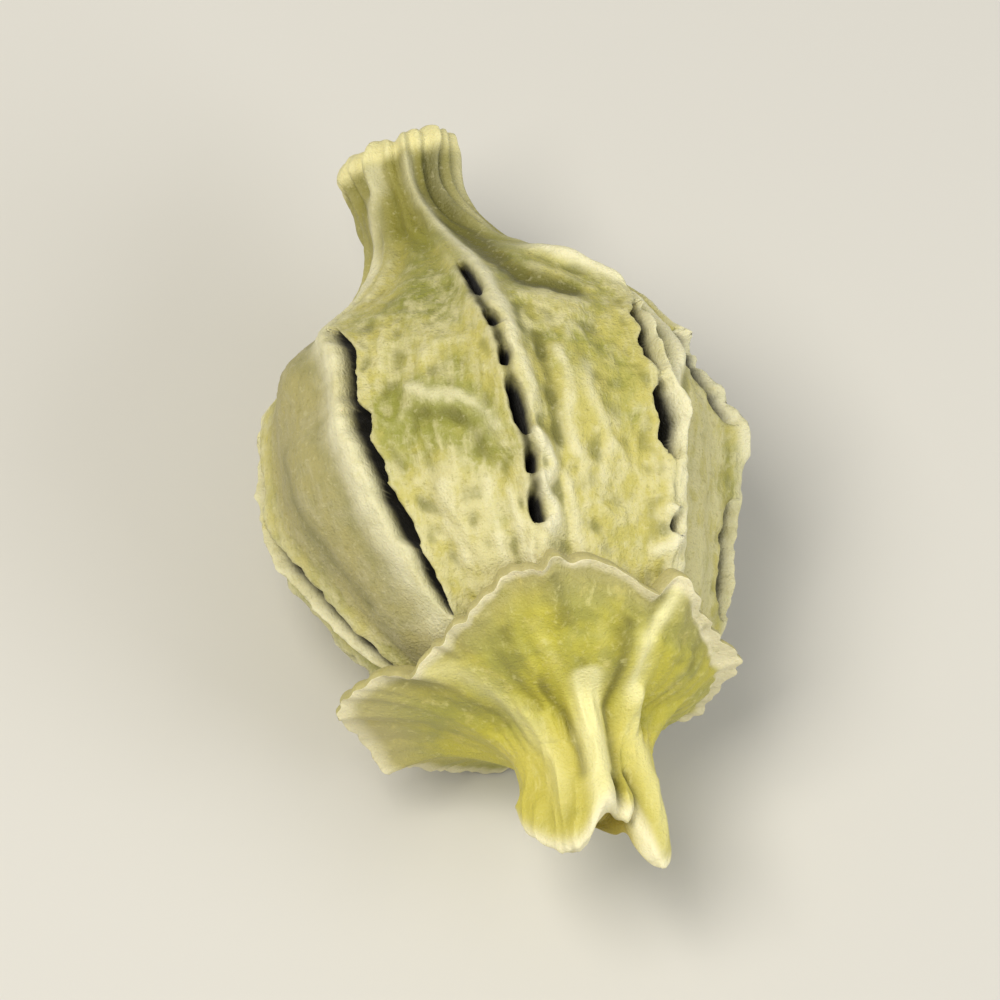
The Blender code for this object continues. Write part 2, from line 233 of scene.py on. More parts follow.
# %% A skin from a grid
def closed_skin(name, rings, marks):
    """A closed surface over a grid whose first and last rows are single points, with named marks."""
    rows, columns = rings.shape[:2]
    points = np.vstack([rings[0, :1], rings[1:-1].reshape(-1, 3), rings[-1, :1]]) * MM
    ids = 1 + np.arange((rows - 2) * columns).reshape(rows - 2, columns)
    beside = np.roll(ids, -1, axis=1)
    quads = np.stack([ids[:-1], beside[:-1], beside[1:], ids[1:]], axis=-1).reshape(-1, 4).tolist()
    first = [(0, b, a) for a, b in zip(ids[0].tolist(), beside[0].tolist())]
    last = [(len(points) - 1, a, b) for a, b in zip(ids[-1].tolist(), beside[-1].tolist())]
    mesh = bpy.data.meshes.new(name)
    mesh.from_pydata(points.tolist(), [], quads + first + last)
    for mark, grid in marks.items():
        values = np.concatenate([grid[0, :1], grid[1:-1].ravel(), grid[-1, :1]])
        mesh.attributes.new(mark, "FLOAT", "POINT").data.foreach_set("value", values.astype(np.float32))
    mesh.shade_smooth()
    piece = bpy.data.objects.new(name, mesh)
    bpy.context.scene.collection.objects.link(piece)
    print(name, "faces:", len(mesh.polygons))
    return piece


# %% [markdown]
# ## Drawing on the skin
# A fold, a lip or a groove follows a path of its own over the skin. Each path is a few points of distance
# along the pod and degrees round it, and every point of the grid is told how far it is from the path, in
# millimetres.

# %% Distance from a path
TAPER = 0.12


def beside_path(path, along, angle, radius, wobble=0):
    """Distance of every grid point from the path, in mm, and a share that fades at the path's ends."""
    curve = curve_through(np.array(path, float), 5)
    nearest = np.full(along.shape, 99.0)
    passed = np.zeros(along.shape)
    for i, ((a0, d0), (a1, d1)) in enumerate(zip(curve, curve[1:])):
        turned = turned_from(angle, d0)
        step_along, step_across = a1 - a0, math.radians(d1 - d0) * radius
        here_along, here_across = along - a0, turned * radius
        reached = here_along * step_along + here_across * step_across
        share = np.clip(reached / (step_along**2 + step_across**2), 0, 1)
        distance = np.hypot(here_along - share * step_along, here_across - share * step_across)
        nearer = distance < nearest
        nearest = np.where(nearer, distance, nearest)
        passed = np.where(nearer, (i + share) / (len(curve) - 1), passed)
    return nearest + wobble, eased(passed, 0, TAPER) * (1 - eased(passed, 1 - TAPER, 1))


def drawn(lines, along, angle, radius, wobble):
    """What lines of path, half width, height and paleness add up to: height, how pale and how dark."""
    height, pale, dark = (np.zeros(along.shape) for _ in range(3))
    for path, half_width, rise, paleness in lines:
        distance, taper = beside_path(path, along, angle, radius, wobble)
        line = hump(distance, half_width) * taper
        height += rise * line
        pale = np.maximum(pale, paleness * line)
        dark = np.maximum(dark, -paleness * line)
    return height, pale, dark


# %% [markdown]
# ## The pod's skin
# Each seam is a line of splits between two lips. Some are long, and others are still held by strands every
# millimetre or so, which leaves a row of holes like stitching. Between the seams the skin has sunk on the
# seeds and dried in folds. A displacement map could make all of this, but heights worked out on the grid give
# real edges and shadows, and the same heights then tell the material what is raised and what is cracked.

# %% Rows of the pod
SHOWN_ROWS, HIDDEN_ROWS, UNDER_CAP = 180, 9, -8.2
path = curve_through(POD_OUTLINE, 40)
reached = np.concatenate([[0], np.cumsum(np.linalg.norm(np.diff(path, axis=0), axis=1))])
shown_end = reached[np.argmax(path[:, 0] < UNDER_CAP)]
wanted = np.concatenate([
    np.linspace(0, shown_end, SHOWN_ROWS), np.linspace(shown_end, reached[-1], HIDDEN_ROWS)[1:]
])
row_along = np.interp(wanted, reached, path[:, 0])
row_radius = np.interp(wanted, reached, path[:, 1])
pod_angle = grid_angles(row_along)
rows, columns = pod_angle.shape
along = np.repeat(row_along[:, None], columns, axis=1)
radius = np.repeat(row_radius[:, None], columns, axis=1)
straight = unbent(along, radius, pod_angle)
size = np.minimum(1, radius / BELLY) ** 0.75
bared = eased(along, -8.6, -6.6)
off = np.tile(from_seam, (rows, 1))
seam_mm = off * 2 * np.pi * np.maximum(radius, 1.2) / RIBS
print("rows:", rows, "points:", rows * columns)

# %% [markdown]
# ## Splits
# A drying pod tears open along its seams, and each tear stops where a strand of skin holds. Holes cut in a
# mesh would show its thin edge, so a split is a steep groove that the material paints near black, as painted
# shade of the hollow inside. Noise makes its two edges ragged. The table says, for each seam, where its
# splits begin and end and half their width. Hidden seams get theirs at random, from a seeded draw.

# %% Splits
SPLITS = {
    0: [(6.6, 4.2, 0.11), (3.4, 2.6, 0.12), (1.8, 0.9, 0.13), (0.4, -1.7, 0.19), (-2.1, -3.0, 0.15),
        (-3.5, -4.6, 0.19)],
    1: [(4.5, 1.1, 0.24), (0.9, -2.1, 0.3), (-4.0, -4.8, 0.2)],
    2: [(4.0, 0.5, 0.4), (-2.0, -6.5, 0.25)],
    7: [(2.5, -0.6, 0.18), (-1.4, -7.4, 0.27)],
    8: [(4.4, 2.4, 0.15), (3.2, 0.4, 0.2), (0.9, -0.9, 0.24), (-0.6, -2.7, 0.18), (-2.3, -4.7, 0.22),
        (-4.4, -7.0, 0.14)],
}
SPLIT_DEPTH = 1.8
dice = random.Random(11)
for rib in range(3, 7):
    SPLITS[rib] = []
    start = dice.uniform(4.5, 6.0)
    while start > -6:
        length = dice.choice((0.8, 1.2, 2.6, 4.5)) * dice.uniform(0.8, 1.2)
        SPLITS[rib].append((start, start - length, dice.uniform(0.2, 0.34)))
        start -= length + dice.uniform(0.2, 0.7)

half_by_seam = np.zeros((rows, RIBS))
for rib, splits in SPLITS.items():
    for start, end, half in splits:
        from_middle = (row_along - (start + end) / 2) / ((start - end) / 2)
        shape = half * np.sqrt(np.clip(1 - np.abs(from_middle) ** 2.5, 0, 1))
        half_by_seam[:, rib] = np.maximum(half_by_seam[:, rib], shape)

sideless = np.stack([nearest_seam[None] * 3.7 + 0 * along, along, 0 * along], axis=-1)
sided = sideless + np.stack([0 * along, 0 * along, seam_side[None] * 0.8 + 0 * along], axis=-1)
signed = seam_side[None] * seam_mm - 0.18 * lumps(sideless, 1.3, 3) * size
half = half_by_seam[:, nearest_seam] * (1 + 0.4 * lumps(sided, 0.42, 5)) * np.minimum(1, size + 0.15)
from_split = np.abs(signed)
steepness = np.where(nearest_seam == 0, 4, 6)
crack = SPLIT_DEPTH / (1 + (from_split / (half + 0.01)) ** steepness) * eased(half, 0.02, 0.12)
print("splits:", sum(len(splits) for splits in SPLITS.values()), "deepest, mm:", round(float(crack.max()), 2))

# %% [markdown]
# ## Lips
# Torn edges dry first and curl outwards, so a split has a pale raised lip along one side or both. Each is a
# hump beside the split with noise along its crest, and the strands between two splits are low ridges. The
# table holds the height, width and raggedness of the lips on the right and on the left of each seam, seen
# from the stalk.

# %% Lips
LIPS = {
    0: ((0.14, 0.18, 0.5), (0.1, 0.15, 0.8)), 1: ((0.4, 0.38, 0.25), (0.1, 0.16, 0.6)),
    2: ((0.28, 0.3, 0.12), (-0.15, 0.3, 0.2)), 3: ((0.25, 0.25, 0.5), (0.2, 0.25, 0.5)),
    4: ((0.15, 0.2, 0.6), (0.3, 0.35, 0.3)), 5: ((0.3, 0.3, 0.4), (0.15, 0.2, 0.7)),
    6: ((0.2, 0.25, 0.5), (0.25, 0.25, 0.5)), 7: ((0.12, 0.22, 0.5), (0.35, 0.3, 0.3)),
    8: ((0.1, 0.15, 1.4), (0.42, 0.62, 0.12)),
}
lip_table = np.array([LIPS[rib] for rib in range(RIBS)])
lip_height, lip_width, lip_ragged = np.moveaxis(lip_table[nearest_seam, np.where(seam_side > 0, 0, 1)], -1, 0)
closed = 1 - eased(half, 0.05, 0.2)
lips_end = np.where(nearest_seam == 1, 4.0, 6.0)
seam_ends = (1 - eased(along, lips_end, lips_end * 1.6)) * eased(along, -9.0, -7.6)
frill = 1 + lip_ragged * lumps(sided, 0.36, 8) + 0.3 * lumps(sided, 1.6, 9)
lip_place = np.maximum(half, 0.12) + lip_width * 0.75
lip = lip_height * frill * hump(from_split - lip_place, lip_width) * (0.1 + 0.9 * seam_ends)
strand_height = np.where(nearest_seam == 0, 0.032, 0.08) * (1 - 0.6 * eased(along, 5, 8))
strand = strand_height * closed * hump(from_split, 0.2)
print("highest lip, mm:", round(float(lip.max()), 2))

# %% [markdown]
# ## Lines that the eye knows this pod by
# Every dried pod has creases of its own. This one has a deep crease behind its neck, a torn lip beyond it,
# and small curled strips beside its seams. Sculpting would leave nothing to adjust, so each is a path in mm
# along and degrees round, with its half width, its height and how pale it is. A negative height is a groove.

# %% Lines of the pod
# A negative paleness paints a groove darker, as painted shade.
POD_LINES = [
    ([(11.4, 2), (9.5, -1), (8.3, -5), (7.1, -6.5), (5.7, -5), (3.7, 0), (2.0, 2), (0.4, 4), (-1.2, 5)],
     0.24, 0.24, 0.9),
    ([(12.7, 38), (11.8, 33), (10.3, 23), (8.9, 15), (7.5, 7), (6.2, 6), (5.5, 12), (5.1, 21), (4.75, 34)],
     0.46, -0.5, -2.0),
    ([(7.8, 26), (7.2, 32), (6.6, 39), (6.05, 46), (5.5, 54), (4.6, 60), (3.3, 56), (1.1, 48), (-0.4, 45),
      (-1.6, 47)], 0.36, 0.42, 1.8),
    ([(4.4, 47), (3.4, 49.5), (2.2, 46)], 0.4, -0.35, -1.1),
    ([(12.8, 80), (11.4, 72), (9.8, 56), (8.8, 46), (7.8, 38)], 0.35, 0.2, 0.5),
    ([(12.8, -33), (11.3, -38), (10.0, -60), (8.0, -66), (6.0, -62)], 0.3, 0.22, 0.7),
    ([(12.5, 4), (11.2, 1), (9.8, -5)], 0.22, 0.14, 0.6),
    ([(1.2, -30), (0.8, -25), (0.45, -20), (0.2, -13), (-0.7, -7), (-2.0, -4)], 0.26, 0.15, 0.6),
    ([(0.2, -29), (-0.3, -22), (-0.5, -15), (-1.4, -10), (-2.4, -8.5)], 0.25, -0.08, -0.4),
    ([(-0.4, -99), (-2.4, -95), (-4.4, -92), (-7.2, -87)], 0.34, 0.3, 0.9),
    ([(4.4, 66), (3.1, 69), (1.8, 72), (0.5, 77), (-0.8, 83)], 0.24, 0.32, 1.0),
    ([(-1.5, 2.5), (-2.1, 6.3), (-2.8, 7.4), (-3.4, 2)], 0.2, 0.3, 1.8),
    ([(-3.4, 2), (-3.9, 6), (-4.4, 6), (-5.0, 1.5)], 0.2, 0.3, 1.8),
    ([(-2.6, -10), (-4.4, -11.5), (-6.4, -13)], 0.22, 0.1, 0.7),
    ([(-3.0, -5.5), (-4.6, -5.5), (-6.2, -6.5)], 0.2, 0.12, 0.8),
    ([(-2.6, -21), (-3.8, -24), (-5.6, -25)], 0.35, 0.1, 0.6),
    ([(2.2, 12), (0.6, 15), (-1.4, 14), (-2.6, 17)], 0.22, 0.08, 0.6),
    ([(1.6, 22), (0.2, 20), (-1.6, 25), (-3.4, 22)], 0.24, 0.08, 0.6),
    ([(2.9, 9), (1.2, 9), (-0.6, 10), (-2.0, 11)], 0.26, -0.1, -0.7),
    ([(-2.6, 11), (-4.2, 12), (-5.8, 11)], 0.2, 0.1, 0.6),
    ([(-3.8, 38), (-4.4, 43), (-5.2, 40), (-5.4, 34)], 0.2, 0.3, 1.0),
    ([(1.0, -72), (-1.5, -69), (-4.0, -68), (-6.0, -64)], 0.45, -0.08, -0.4),
]
KNOB, KNOB_HEIGHT, KNOB_REACH = [(7.4, 29), (7.1, 33)], 0.45, 0.55
# The dark band along seam 0 between its holes is a shallow groove that the material paints dark, as painted
# shade.
DARK_BAND = [(6.9, -13.5), (5.0, -9.5), (2.8, -3.4), (-0.1, -0.4), (-2.6, 1.6), (-5.0, 0)]
BAND_WIDTH, BAND_DEPTH = 0.17, 0.16
wide_radius = np.maximum(radius, 1)
wobble = 0.12 * lumps(straight, 0.8, 17)
line_height, line_pale, line_shade = drawn(POD_LINES, along, pod_angle, wide_radius, wobble)
from_knob, _ = beside_path(KNOB, along, pod_angle, radius)
line_height += KNOB_HEIGHT * hump(from_knob, KNOB_REACH)
line_pale = np.maximum(line_pale, 0.9 * hump(from_knob, 0.5))
from_band, band_ends = beside_path(DARK_BAND, along, pod_angle, wide_radius)
link = hump(from_band, BAND_WIDTH) * band_ends * (1.0 + 0.7 * lumps(straight, 0.45, 42))
line_height -= BAND_DEPTH * link
print("lines:", len(POD_LINES))

# %% [markdown]
# ## Panels
# Between two seams the skin hangs like cloth between two ropes, sinks on the seeds and wrinkles. Each size of
# wrinkle is a noise of its own, from folds of 2 mm down to fibres of 0.2 mm, and their heights are added up.
# `BULGE` and `FOLDED` hold each panel's rise over the plain model and the strength of its folds. Panel 0 is
# on the right of seam 0.

# %% Panels
PANEL_SAG, PANEL_WAVE, PANEL_WAVE_LENGTH = 0.35, 0.28, 3.2
TIP_SLANT, TIP_RADIUS, TIP_SLANTED = 0.6, 1.95, (10.8, 12.9)
SHOULDER_HEIGHT, SHOULDER_PLACE, SHOULDER_REACH = 0.6, (3.9, -66), (1.6, math.radians(26))
FOLD_HEIGHT, FOLD_SIZE, CREASE_HEIGHT, CREASE_SIZE = 0.18, 1.9, 0.1, 0.6
CRINKLE_HEIGHT, CRINKLE_SIZE, PIMPLE_HEIGHT, PIMPLE_SIZE = 0.06, 0.36, 0.03, 0.2
FIBRE_HEIGHT, FIBRE_WIDTH, CORD_HEIGHT, CORDS = 0.045, 0.22, 0.09, 19
TORN_TIP, TIP_FLARE = 0.3, 0.35
BULGE = np.array([-0.05, 0.12, 0.0, 0.05, 0.1, 0.1, 0.0, 0.4, 0.0])
FOLDED = np.array([1.0, 0.45, 0.8, 0.6, 1.0, 0.7, 0.9, 0.3, 1.1])
rib_rise = RIB_HEIGHT * hump(off, RIB_SPREAD)
sag = PANEL_SAG * np.cos(np.pi * off) ** 2 * (1 - hump(off, RIB_SPREAD))
bulge = BULGE[column_rib] * np.sin(np.pi * column_share) ** 2
scaled = np.stack([np.sin(pod_angle), np.cos(pod_angle), along / BELLY], axis=-1) * BELLY
wave = PANEL_WAVE * lumps(scaled, PANEL_WAVE_LENGTH)
shoulder_along = (along - SHOULDER_PLACE[0]) / SHOULDER_REACH[0]
shoulder_round = turned_from(pod_angle, SHOULDER_PLACE[1]) / SHOULDER_REACH[1]
shoulder = SHOULDER_HEIGHT * hump(np.hypot(shoulder_along, shoulder_round), 1)
folded = blurred(np.tile(FOLDED[column_rib], (rows, 1)), 6)
stretched = straight * (1, 0.6, 1)
open_panel = 1 - hump(from_split, 0.5)
on_neck = eased(along, 6.5, 10.0)
big_folds = FOLD_HEIGHT * (folds(stretched, FOLD_SIZE, 11) - 0.35) * open_panel
creases = CREASE_HEIGHT * (folds(straight * (1, 0.75, 1), CREASE_SIZE, 12) - 0.35) * (0.3 + 0.7 * open_panel)
crinkles = CRINKLE_HEIGHT * (folds(straight, CRINKLE_SIZE, 18) - 0.3)
pimples = PIMPLE_HEIGHT * lumps(straight, PIMPLE_SIZE, 13)
fibres = FIBRE_HEIGHT * lumps(straight * (1, 0.12, 1), FIBRE_WIDTH, 19)
neck_cords = CORD_HEIGHT * np.cos(CORDS * pod_angle + 4 * lumps(straight, 2.0, 15)) * on_neck
torn_tip = TORN_TIP * lumps(straight, 0.55, 16) * eased(along, 12.5, 13.3)
flared_tip = TIP_FLARE * eased(along, 11.8, 13.1) * hump(turned_from(pod_angle, -85), 0.7)
tip_slant = TIP_SLANT * radius / TIP_RADIUS * eased(along, *TIP_SLANTED) * np.sin(pod_angle)

creased = (big_folds + creases + crinkles) * folded * (1 - 0.6 * on_neck) + pimples + fibres
detail = (lip + strand - crack + creased) * size + line_height * np.minimum(1, size + 0.25) + neck_cords
height = ((rib_rise - sag + wave + bulge) * size + shoulder + flared_tip + detail) * bared
fine = (detail + crack * size) * bared
# raised is over 0.5 on small crests and under it in hollows, and the material paints shade in the hollows and
# a highlight on the crests.
RAISED_BLUR = 14
raised = np.clip(0.5 + 3.2 * (blurred(fine, 1) - blurred(fine, RAISED_BLUR)), 0, 1)

ring_radius = np.maximum(radius + height, 0) * (radius > 0)
pod_rings = set_down(along + torn_tip + tip_slant, ring_radius, pod_angle)
print("height over the plain outline, mm:", np.round([height.min(), height.max()], 2))

# %% [markdown]
# ## Marks for the pod's material
# The material needs to know more than the shape tells it: where a split is, how close a lip is, which panel
# dried paler, and where the neck begins. Each is a number from 0 to 1 kept at every point of the skin.

# %% Pod marks
GREEN = np.array([0.45, 0.3, 0.5, 0.7, 0.6, 0.45, 0.65, 0.25, 0.6])
PALE = np.array([0.3, 0.95, 0.6, 0.35, 0.3, 0.3, 0.4, 0.5, 0.4])
DULL = np.array([0.0, 0.1, 0.1, 0.2, 0.0, 0.2, 0.1, 1.0, 0.05])
# Patches: mm along, degrees round, half size in mm, green and pale.
PATCHES = [
    (3.0, -22, 2.2, -0.15, 0.45), (0.0, -22, 1.8, 0.3, -0.15), (-3.2, -20, 1.5, -0.5, 0.8),
    (1.4, 16, 1.7, 0.25, -0.15), (3.6, 14, 1.6, -0.3, 0.6), (-3.2, 18, 2.4, -0.5, 0.45),
    (8.4, -12, 1.8, 0.55, -0.4), (8.6, 30, 1.4, 0.6, -0.4), (-5.9, 0, 1.6, -0.4, 0.8),
    (-5.6, -18, 1.3, -0.4, 0.6), (5.8, -22, 1.6, 0.35, -0.1),
]
panel_edge = eased(seam_mm, 0.2, 1.2)
green = GREEN[column_rib][None] * panel_edge + 0.3 * (1 - panel_edge)
pale = PALE[column_rib][None] * panel_edge + 0.55 * (1 - panel_edge)
for place, degrees, reach, greener, paler in PATCHES:
    distance = np.hypot(along - place, turned_from(pod_angle, degrees) * radius)
    near = hump(distance + 0.5 * lumps(straight, 1.2, 41), reach)
    green = green + greener * near
    pale = pale + paler * near
pod_marks = {
    # crack: the split grooves, which the material paints near black as painted shade of the hollow inside.
    "crack": np.clip(crack / SPLIT_DEPTH * 1.5, 0, 1),
    "shade": hump(from_split - half, 0.16) * eased(half, 0.02, 0.12),
    "tip": eased(along + torn_tip, 12.15, 12.75),
    "dull": DULL[column_rib][None] * panel_edge,
    "lip": np.clip(0.8 * lip / 0.35 + 0.75 * line_pale + 5 * strand, 0, 1),
    # groove: how far the grooves are painted darker, as painted shade.
    "groove": np.clip(line_shade, 0, 1),
    "link": np.clip(link, 0, 1),
    "raised": raised,
    "green": np.clip(green, 0, 1),
    "pale": np.clip(pale, 0, 1),
    "neck": on_neck,
}
pod = closed_skin("pod_skin", pod_rings, pod_marks)

# %% [markdown]
# ## The cap and its stalk
# The cap is the flower's old base. It is thin and leathery, and dries into a crown: a broad lobe hugs the pod
# on top, the rest stands off like a collar, and pleats run from the stalk to the rim in line with the ribs.
# The stalk was snapped or cut, so its end is slanted, with a pale pith in a ring. The cap's outline is worked
# out at every angle: over the cut end, up the stalk, out along the flare, round the rim and in under it to
# the middle.

# %% Outlines of the cap
CAP_WALL, GAP, WALL_SLANT = 0.55, 0.3, 1.25
# Distance along and radius, over the end of the stalk to its waist and then under the cap from rim to middle.
STALK_OUTLINE = np.array([
    (-13.95, 0.0), (-13.85, 0.75), (-13.6, 1.25), (-14.2, 1.8), (-14.05, 2.45), (-13.2, 2.55), (-12.1, 2.3),
    (-11.1, 2.35),
])
UNDERSIDE = np.array([(-8.45, 4.75), (-9.15, 3.7), (-9.75, 1.9), (-9.9, 0.0)])
# The rim in degrees round, distance along and radius.
CAP_RIM = np.array([
    (-162, -8.8, 6.8), (-120, -9.2, 6.9), (-92, -8.6, 8.0), (-68, -8.3, 7.4), (-50, -8.2, 6.5),
    (-36, -7.5, 6.3), (-22, -6.9, 6.5), (-11, -6.2, 6.8), (6, -6.1, 7.0), (20, -6.4, 7.0), (36, -7.1, 6.9),
    (55, -7.5, 6.65), (72, -7.9, 6.45), (88, -8.3, 6.1), (116, -8.5, 5.6), (140, -8.4, 6.1), (166, -8.6, 6.8),
])


def closed_curve(points):
    """A smooth curve through a full turn of points, whose first numbers are degrees."""
    turn = np.zeros(points.shape[1])
    turn[0] = 360
    return curve_through(np.vstack([points[-1:] - turn, points, points[:1] + turn]), CURVE_STEPS)


rim_curve = closed_curve(CAP_RIM)
cap_angle = grid_angles(np.array([BASE]))[0]
degrees = (np.degrees(cap_angle) + 180) % 360 - 180
around = np.stack([np.sin(cap_angle), np.cos(cap_angle), 0 * cap_angle], axis=-1) * 7
calm_side = 1 - 0.65 * hump(degrees - 78, 40)
rim_frill = (0.22 * lumps(around, 1.1, 21) + 0.16 * lumps(around, 0.45, 22)) * calm_side
rim_notch = 0.35 * hump(degrees + 4, 3.5) + 0.5 * hump(degrees - 29, 5) + 0.5 * hump(degrees + 58, 5)
rim_point = 0.15 * hump(degrees + 86, 5)
rim_teeth = 0.5 * hump(degrees - 38, 7) - 0.45 * hump(degrees + 119, 6) - 0.2 * hump(degrees + 86, 5)
rim_along = np.interp(degrees, rim_curve[:, 0], rim_curve[:, 1])
rim_ragged = rim_frill - rim_notch + rim_teeth
rim_radius = np.interp(degrees, rim_curve[:, 0], rim_curve[:, 2]) + 0.1 * lumps(around, 0.9, 23) + rim_point
on_top = 0.5 + 0.5 * np.cos(cap_angle)
print("frill, mm:", round(float(np.ptp(rim_frill)), 2))

# %% [markdown]
# ## The flare
# From its waist the cap flares out to the rim, and it has to stay clear of the pod that it hugs. Two small
# functions push its radius outwards wherever it would come too near to the pod's ribs, or to its own inside.

# %% Flare
def clear_of_pod(points_along, points_radius, room):
    """Radii moved outwards where they would come nearer to the pod than this room."""
    rib_there = RIB_HEIGHT * hump(from_seam, RIB_SPREAD) * eased(points_along, -8.6, -6.6)
    nearest = np.where(points_along < BASE, 0, pod_radius(points_along) + rib_there + room)
    return np.maximum(points_radius, nearest)


def clear_of_inside(points_along, points_radius):
    """Radii moved outwards where the cap's wall over its own inside would be too thin."""
    inside = np.interp(points_along, UNDERSIDE[::-1, 0], UNDERSIDE[::-1, 1]) + CAP_WALL * WALL_SLANT
    return np.where(points_along < UNDERSIDE[-1, 0], points_radius, np.maximum(points_radius, inside))


FLARE_ROWS, FLARE_POWER = 84, 1.3
t = np.linspace(0, 1, FLARE_ROWS + 1)[1:, None]
waist_along, waist_radius = STALK_OUTLINE[-1]
splay = 2.2 - 0.8 * on_top
flare_along = waist_along + (rim_along - waist_along) * (1 - (1 - t) ** splay) + rim_ragged * t**3
flare_radius = waist_radius + (rim_radius - waist_radius) * t**FLARE_POWER
stalk_path = curve_through(STALK_OUTLINE, 7)[:-1]
stalk_rows = len(stalk_path)
share = np.concatenate([np.arange(stalk_rows) / stalk_rows - 1, t[:, 0]])[:, None] + 0 * cap_angle
local_radius = np.vstack([np.repeat(stalk_path[:, 1:], columns, axis=1), flare_radius])
print("rim reaches, mm:", np.round([flare_along[-1].min(), flare_along[-1].max()], 2))

# %% [markdown]
# ## Folds of this cap
# The cap dried in a few strong folds: a spoon on the right, a flap on the left, and pale strands that run
# down onto the stalk. They are drawn as the pod's lines are. A path's first number is here the share of the
# way from waist to rim, which is about 5.5 mm, and it is negative on the stalk.

# %% Folds of this cap
REACH = 5.5
# A negative paleness paints a crease darker, as painted shade.
CAP_LINES = [
    ([(1.0, -57), (0.83, -52), (0.6, -47), (0.31, -43), (0.02, -36), (-0.3, -24)], 0.45, 0.45, 0.45),
    ([(1.0, -68), (0.8, -66), (0.5, -64), (0.2, -62)], 0.8, -0.25, -0.2),
    ([(1.0, 38), (0.83, 37), (0.64, 33), (0.46, 30), (0.3, 32), (0.15, 39)], 0.26, 0.34, 1.0),
    ([(0.5, 31), (0.3, 33), (0.15, 41), (0.0, 51), (-0.15, 58), (-0.4, 64)], 0.38, 0.24, 0.6),
    ([(0.65, 22), (0.45, 20), (0.2, 21), (-0.05, 23), (-0.3, 24)], 0.3, -0.25, -0.6),
    ([(0.32, 4), (0.24, 5), (0.12, 6), (0.0, 5), (-0.25, 6), (-0.7, 9)], 0.42, 0.38, 1.8),
    ([(0.35, -20), (0.15, -14), (-0.05, -9), (-0.2, -8)], 0.22, -0.25, -0.7),
    ([(0.85, -2), (0.66, -1), (0.48, -1)], 0.25, -0.1, -0.5),
    ([(0.7, -22), (0.43, -27), (0.2, -30)], 0.4, -0.12, -0.35),
    ([(0.95, 57), (0.7, 57), (0.45, 58)], 0.9, -0.25, -0.1),
    ([(-0.15, 20), (-0.35, 20), (-0.6, 22)], 0.22, -0.4, -1.2),
    ([(-0.1, 38), (-0.45, 44), (-0.85, 49)], 0.24, -0.35, -0.8),
    ([(0.55, 12), (0.35, 12), (0.15, 13)], 0.2, 0.08, 0.1),
    ([(0.6, -12), (0.35, -9), (0.2, -7)], 0.18, 0.08, 0.1),
]
cap_spots = unbent(share * REACH, local_radius, cap_angle)
wobble = 0.1 * lumps(cap_spots, 0.8, 29)
lines_in_mm = [([(place * REACH, turn) for place, turn in path], *rest) for path, *rest in CAP_LINES]
fold_height, fold_pale, fold_shade = drawn(
    lines_in_mm, share * REACH, cap_angle + 0 * share, np.maximum(local_radius, 1), wobble
)
print("folds on the cap:", len(CAP_LINES))

# %% [markdown]
# ## Pleats, creases and veins
# The pleats lie in line with the ribs: they are low on the broad lobe and the flap, and the spoon between two
# of them is hollow. Veins run from stalk to rim, and the rim itself dries thicker. Here too all heights are
# added up.

# %% Pleats, creases and veins
PLEAT_HEIGHTS = np.array([0.15, 0.4, 0.5, 0.5, 0.5, 0.5, 0.5, 0.2, 0.5])
PLEAT_SAGS = np.array([0.3, 0.6, 0.3, 0.3, 0.3, 0.3, 0.3, 0.35, 0.2])
STALK_RIDGE, STALK_RIDGES, VEIN_HEIGHT, VEINS = 0.2, 5, 0.055, 40
on_cap = eased(flare_along, waist_along, -9.4)
pleat = PLEAT_HEIGHTS[nearest_seam] * hump(from_seam, 0.13)
pleat = pleat - PLEAT_SAGS[column_rib] * np.sin(np.pi * column_share) ** 2
stalk_ridge = STALK_RIDGE * np.cos(STALK_RIDGES * cap_angle)
flare_spots = unbent(flare_along, flare_radius, cap_angle)
on_flap = hump(degrees + 92, 40)
veins = VEIN_HEIGHT * np.cos(VEINS * cap_angle + 3 * lumps(flare_spots, 2.0, 24))
veins = veins * (1 - 0.4 * t) * (1 - 0.7 * on_flap)
cap_folds = 0.1 * (folds(flare_spots, 1.6, 25) - 0.35) * eased(t, 0.1, 0.5) * (1 - 0.6 * on_flap)
cap_grain = 0.03 * lumps(flare_spots, 0.35, 26) + 0.015 * lumps(flare_spots, 0.14, 27)
thick_edge = 0.2 * hump(1 - t, 0.055) * (1 + 0.8 * lumps(flare_spots, 0.5, 28))
flare_detail = (veins + cap_folds + cap_grain + thick_edge) * eased(t, 0.0, 0.1)
flare_relief = pleat * on_cap * (1 - 0.4 * t) + stalk_ridge * (1 - on_cap) + fold_height[stalk_rows:]
flare_radius = clear_of_inside(flare_along, flare_radius + flare_relief)
flare_radius = blurred(clear_of_pod(flare_along, flare_radius, GAP + CAP_WALL), 8) + flare_detail
print("flare's widest radius, mm:", round(float(flare_radius.max()), 2))

# %% [markdown]
# ## Stalk
# The stalk was torn off, so its end is slanted, with two lobes, a stub between them and fibres that stick
# out. The cut is a curve of how far it reaches at each angle, which fades towards the pith in the middle.

# %% Stalk
STALK_END, CUT_MIDDLE, CUT_RADIUS = -14.2, -13.7, 2.45
